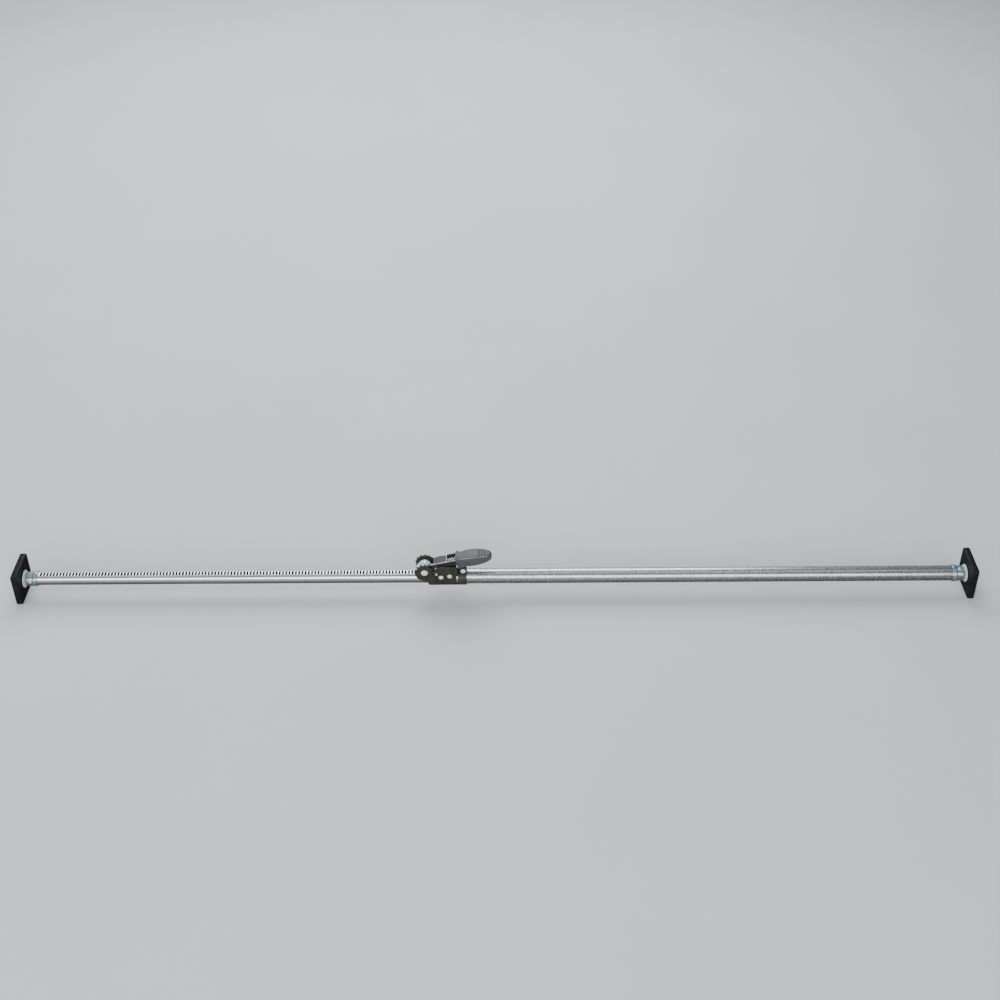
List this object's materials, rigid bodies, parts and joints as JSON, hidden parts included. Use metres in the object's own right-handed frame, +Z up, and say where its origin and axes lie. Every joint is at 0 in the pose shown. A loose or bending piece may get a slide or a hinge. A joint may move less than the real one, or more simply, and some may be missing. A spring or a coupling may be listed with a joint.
{
  "type": "bed cargo bar",
  "caption": "Telescoping bar that ratchets out until its rubber feet wedge against the side walls of a truck bed to hold a load.",
  "frame": {"origin": "centre of the left foot's contact face, on the bar's axis", "axes": "+X along the bar towards the right foot, +Z up, with the slots and the handle on top"},
  "size_m": [1.625, 0.062, 0.0848],
  "materials": {
    "rubber": "matte, finely textured",
    "zinc": "bluish bright zinc plate",
    "tube_steel": "bright zinc-plated tube",
    "bright_steel": "bright, smooth",
    "black_steel": "gloss black coat",
    "grey_paint": "grey hammered paint",
    "grey_plastic": "satin grey moulding",
    "dark_plastic": "satin",
    "label": null
  },
  "bodies": {
    "outer_bar": {"outer_tube": "grey_paint", "tube_guide_bushing": "dark_plastic", "ratchet_housing": "black_steel", "clamp_rivet": "bright_steel", "pawl_bracket": "zinc", "axle_rivet": "bright_steel", "hold_pawl_spring": "bright_steel", "right_end_socket": "zinc", "right_socket_rivet": "bright_steel", "housing_rivet_front_1": "bright_steel", "housing_rivet_front_2": "bright_steel", "housing_rivet_rear_1": "bright_steel", "housing_rivet_rear_2": "bright_steel"},
    "inner_bar": {"inner_tube": "tube_steel", "inner_tube_glide": "dark_plastic", "left_end_socket": "zinc", "left_socket_rivet": "bright_steel"},
    "sprocket": {"sprocket_spool": "bright_steel", "ratchet_wheel_front": "black_steel", "ratchet_wheel_rear": "black_steel"},
    "handle": {"handle_channel": "black_steel", "handle_grip": "grey_plastic", "label_plate": "label", "spring_stop_pin": "zinc", "grip_screw_front": "bright_steel", "grip_screw_rear": "bright_steel", "drive_pawl_spring": "bright_steel"},
    "drive_pawl": {"drive_pawl": "zinc"},
    "hold_pawl": {"hold_pawl": "zinc"},
    "left_swivel": {"left_ball_seat": "dark_plastic"},
    "left_foot": {"left_rubber_pad": "rubber", "left_foot_plate": "zinc", "left_ball_stud": "zinc"},
    "right_swivel": {"right_ball_seat": "dark_plastic"},
    "right_foot": {"right_rubber_pad": "rubber", "right_foot_plate": "zinc", "right_ball_stud": "zinc"}
  },
  "joints": [
    {"name": "extend", "type": "slide", "parent": "outer_bar", "child": "inner_bar", "axis": [-1, 0, 0], "range_m": [-0.605, 0.154]},
    {"name": "sprocket_turn", "type": "hinge", "parent": "outer_bar", "child": "sprocket", "pos_m": [0.6943, 0, 0.02128], "axis": [0, 1, 0], "range_deg": [-3060, 790]},
    {"name": "handle_swing", "type": "hinge", "parent": "outer_bar", "child": "handle", "pos_m": [0.6943, 0, 0.02128], "axis": [0, -1, 0], "range_deg": [0, 138.46]},
    {"name": "drive_pawl_slide", "type": "slide", "parent": "handle", "child": "drive_pawl", "axis": [-0.9709, 0, -0.2393], "range_m": [0, 0.0044], "stiffness_N_per_m": 300, "deforming": ["drive_pawl_spring"]},
    {"name": "hold_pawl_slide", "type": "slide", "parent": "outer_bar", "child": "hold_pawl", "axis": [-1, 0, 0], "range_m": [0, 0.0044], "stiffness_N_per_m": 300, "deforming": ["hold_pawl_spring"]},
    {"name": "left_foot_spin", "type": "hinge", "parent": "inner_bar", "child": "left_swivel", "pos_m": [0.0235, 0, 0], "axis": [1, 0, 0], "continuous": true},
    {"name": "left_foot_tilt", "type": "hinge", "parent": "left_swivel", "child": "left_foot", "pos_m": [0.0235, 0, 0], "axis": [0, 1, 0], "range_deg": [-8, 8]},
    {"name": "right_foot_spin", "type": "hinge", "parent": "outer_bar", "child": "right_swivel", "pos_m": [1.6015, 0, 0], "axis": [1, 0, 0], "continuous": true},
    {"name": "right_foot_tilt", "type": "hinge", "parent": "right_swivel", "child": "right_foot", "pos_m": [1.6015, 0, 0], "axis": [0, 1, 0], "range_deg": [-8, 8]}
  ],
  "couplings": [
    {"joint": "sprocket_turn", "follows": "extend", "rad_per_m": 87.877}
  ]
}
